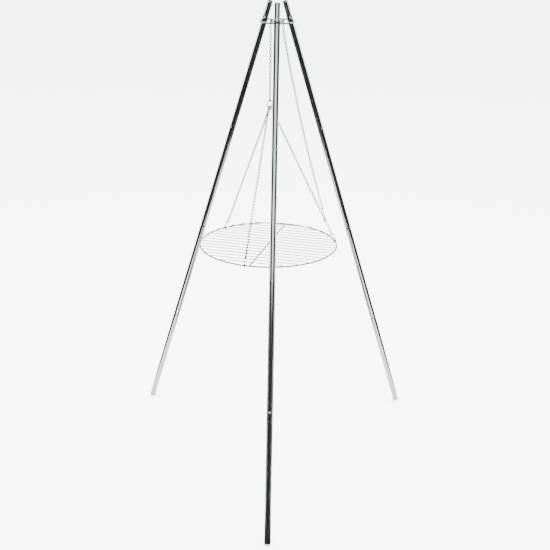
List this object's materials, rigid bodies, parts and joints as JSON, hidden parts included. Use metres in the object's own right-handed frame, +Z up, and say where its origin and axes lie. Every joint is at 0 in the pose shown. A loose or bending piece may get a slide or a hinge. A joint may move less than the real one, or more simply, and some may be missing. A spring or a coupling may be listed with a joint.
{
  "type": "campfire tripod grate",
  "caption": "Tall campfire tripod of plug-together metal tubes, with a round wire cooking grate hung inside it on chains from a ring at the top.",
  "frame": {"origin": "on the ground, straight below the centre of the head ring", "axes": "+Z up; -Y towards the front leg; +X to the right as seen from the front"},
  "size_m": [0.911, 0.9754, 1.4807],
  "materials": {
    "chromed_tube": "bright plated steel tube with fine drawing lines along it",
    "plated_ring": "plated steel wire, slightly dulled",
    "plated_chain": "plated steel chain, a little dull",
    "dark_hook_wire": "darker plated wire",
    "chromed_grate_wire": "bright plated grate wire"
  },
  "bodies": {
    "head": {"head_ring": "plated_ring", "wrap_chain": "plated_chain"},
    "front_leg_top": {"front_leg_top_tube": "chromed_tube"},
    "front_leg_upper": {"front_leg_upper_tube": "chromed_tube"},
    "front_leg_lower": {"front_leg_lower_tube": "chromed_tube"},
    "front_leg_foot": {"front_leg_foot_tube": "chromed_tube"},
    "left_leg_top": {"left_leg_top_tube": "chromed_tube"},
    "left_leg_upper": {"left_leg_upper_tube": "chromed_tube"},
    "left_leg_lower": {"left_leg_lower_tube": "chromed_tube"},
    "left_leg_foot": {"left_leg_foot_tube": "chromed_tube"},
    "right_leg_top": {"right_leg_top_tube": "chromed_tube"},
    "right_leg_upper": {"right_leg_upper_tube": "chromed_tube"},
    "right_leg_lower": {"right_leg_lower_tube": "chromed_tube"},
    "right_leg_foot": {"right_leg_foot_tube": "chromed_tube"},
    "lift_top_link": {"lift_chain_top_link": "plated_chain"},
    "hanging_grate": {"lift_chain": "plated_chain", "junction_ring": "plated_ring", "right_grate_chain": "plated_chain", "left_grate_chain": "plated_chain", "front_grate_chain": "plated_chain", "right_grate_hook": "dark_hook_wire", "left_grate_hook": "dark_hook_wire", "front_grate_hook": "dark_hook_wire", "grate_rim": "chromed_grate_wire", "grate_bars": "chromed_grate_wire", "grate_brace": "chromed_grate_wire", "adjuster_hook": "dark_hook_wire"},
    "adjuster_top_link": {"adjuster_top_link": "plated_chain"},
    "adjuster": {"adjuster_chain": "plated_chain"}
  },
  "joints": [
    {"name": "front_leg_fold", "type": "hinge", "parent": "head", "child": "front_leg_top", "pos_m": [0, -0.05, 1.42082], "axis": [-1, 0, 0], "range_deg": [-2.5, 0]},
    {"name": "front_leg_upper_pull", "type": "slide", "parent": "front_leg_top", "child": "front_leg_upper", "axis": [0, -0.3518, -0.9361], "range_m": [0, 0.045]},
    {"name": "front_leg_lower_pull", "type": "slide", "parent": "front_leg_upper", "child": "front_leg_lower", "axis": [0, -0.3518, -0.9361], "range_m": [0, 0.045]},
    {"name": "front_leg_foot_pull", "type": "slide", "parent": "front_leg_lower", "child": "front_leg_foot", "axis": [0, -0.3518, -0.9361], "range_m": [0, 0.045]},
    {"name": "left_leg_fold", "type": "hinge", "parent": "head", "child": "left_leg_top", "pos_m": [-0.0383, 0.03214, 1.42082], "axis": [0.6428, 0.766, 0], "range_deg": [-2.5, 0]},
    {"name": "left_leg_upper_pull", "type": "slide", "parent": "left_leg_top", "child": "left_leg_upper", "axis": [-0.2695, 0.2262, -0.9361], "range_m": [0, 0.045]},
    {"name": "left_leg_lower_pull", "type": "slide", "parent": "left_leg_upper", "child": "left_leg_lower", "axis": [-0.2695, 0.2262, -0.9361], "range_m": [0, 0.045]},
    {"name": "left_leg_foot_pull", "type": "slide", "parent": "left_leg_lower", "child": "left_leg_foot", "axis": [-0.2695, 0.2262, -0.9361], "range_m": [0, 0.045]},
    {"name": "right_leg_fold", "type": "hinge", "parent": "head", "child": "right_leg_top", "pos_m": [0.0383, 0.03214, 1.42082], "axis": [0.6428, -0.766, 0], "range_deg": [-2.5, 0]},
    {"name": "right_leg_upper_pull", "type": "slide", "parent": "right_leg_top", "child": "right_leg_upper", "axis": [0.2695, 0.2262, -0.9361], "range_m": [0, 0.045]},
    {"name": "right_leg_lower_pull", "type": "slide", "parent": "right_leg_upper", "child": "right_leg_lower", "axis": [0.2695, 0.2262, -0.9361], "range_m": [0, 0.045]},
    {"name": "right_leg_foot_pull", "type": "slide", "parent": "right_leg_lower", "child": "right_leg_foot", "axis": [0.2695, 0.2262, -0.9361], "range_m": [0, 0.045]},
    {"name": "grate_swing_side", "type": "hinge", "parent": "head", "child": "lift_top_link", "pos_m": [-0.0185, -0.03542, 1.40782], "axis": [0, -1, 0], "range_deg": [-2.5, 2.5]},
    {"name": "grate_swing_fore_aft", "type": "hinge", "parent": "lift_top_link", "child": "hanging_grate", "pos_m": [-0.0185, -0.03542, 1.39927], "axis": [-1, 0, 0], "range_deg": [-3, 2]},
    {"name": "adjuster_swing_side", "type": "hinge", "parent": "head", "child": "adjuster_top_link", "pos_m": [0.0185, -0.03542, 1.40782], "axis": [0, -1, 0], "range_deg": [-2.5, 2.5]},
    {"name": "adjuster_swing_fore_aft", "type": "hinge", "parent": "adjuster_top_link", "child": "adjuster", "pos_m": [0.0185, -0.03542, 1.39927], "axis": [-1, 0, 0], "range_deg": [-3, 2]}
  ],
  "couplings": [
    {"joint": "adjuster_swing_side", "follows": "grate_swing_side", "ratio": 1},
    {"joint": "adjuster_swing_fore_aft", "follows": "grate_swing_fore_aft", "ratio": 1}
  ]
}
